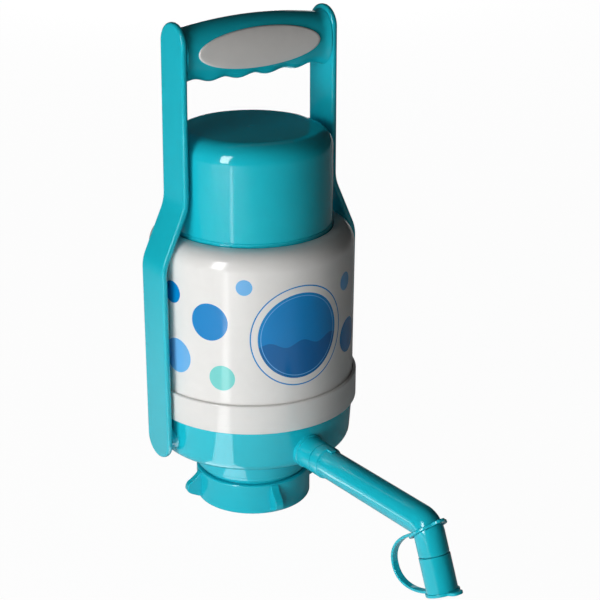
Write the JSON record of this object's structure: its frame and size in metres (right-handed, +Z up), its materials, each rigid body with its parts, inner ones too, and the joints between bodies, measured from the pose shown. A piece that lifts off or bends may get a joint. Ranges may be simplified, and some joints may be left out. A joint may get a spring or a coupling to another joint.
{
  "type": "water jug hand pump",
  "caption": "Hand pump for a large water bottle: press cap, barrel, swing handle, winged neck collar and a bent spout with a tethered cap.",
  "frame": {"origin": "centre of the collar's bottom rim, where the bottle's neck goes in", "axes": "+Z up along the pump's axis, -Y to the front where the spout points, +X across between the handle's pivots"},
  "size_m": [0.128, 0.2452, 0.2802],
  "materials": {
    "teal_plastic": "glossy moulded plastic",
    "teal_soft": "soft moulded plastic",
    "white_plastic": "glossy moulded plastic",
    "grey_grip": "matt soft-touch rubber",
    "natural_plastic": "uncoloured plastic",
    "seal_rubber": "black rubber",
    "steel": "stainless steel"
  },
  "bodies": {
    "base": {"base_housing": "teal_plastic", "lock_band": "white_plastic", "barrel": "white_plastic", "pump_cylinder": "natural_plastic", "flange_gasket": "seal_rubber", "cylinder_screw_1": "steel", "cylinder_screw_2": "steel", "cylinder_screw_3": "steel", "cylinder_screw_4": "steel", "cylinder_head": "natural_plastic", "valve_cage": "natural_plastic", "dip_tube_nipple": "natural_plastic", "neck_gasket": "seal_rubber", "return_spring": "steel", "outlet_duct": "natural_plastic", "spout": "teal_plastic", "spout_seal": "seal_rubber", "cap_strap": "teal_soft"},
    "head": {"press_cap": "teal_plastic", "piston_rod": "natural_plastic", "piston": "natural_plastic", "piston_ring": "seal_rubber", "piston_screw": "steel"},
    "handle": {"left_arm": "teal_plastic", "right_arm": "teal_plastic", "grip": "teal_plastic", "grip_insert": "grey_grip"},
    "collar": {"neck_collar": "teal_plastic"},
    "outlet_cap": {"spout_cap": "teal_soft"},
    "intake_valve": {"intake_valve_disc": "seal_rubber"},
    "outlet_valve": {"outlet_valve_disc": "seal_rubber"}
  },
  "joints": [
    {"name": "press", "type": "slide", "parent": "base", "child": "head", "axis": [0, 0, -1], "range_m": [0, 0.045], "stiffness_N_per_m": 250, "springref_m": -0.03, "deforming": ["return_spring"]},
    {"name": "handle_swing", "type": "hinge", "parent": "base", "child": "handle", "pos_m": [0, 0, 0.0493], "axis": [1, 0, 0], "range_deg": [-90, 90]},
    {"name": "collar_turn", "type": "hinge", "parent": "base", "child": "collar", "pos_m": [0, 0, 0], "axis": [0, 0, 1], "continuous": true},
    {"name": "cap_pull", "type": "slide", "parent": "base", "child": "outlet_cap", "axis": [0, -0.3987, -0.9171], "range_m": [0, 0.02]},
    {"name": "intake_lift", "type": "slide", "parent": "base", "child": "intake_valve", "axis": [0, 0, 1], "range_m": [0, 0.002]},
    {"name": "outlet_lift", "type": "slide", "parent": "base", "child": "outlet_valve", "axis": [0, -1, 0], "range_m": [0, 0.002]}
  ]
}
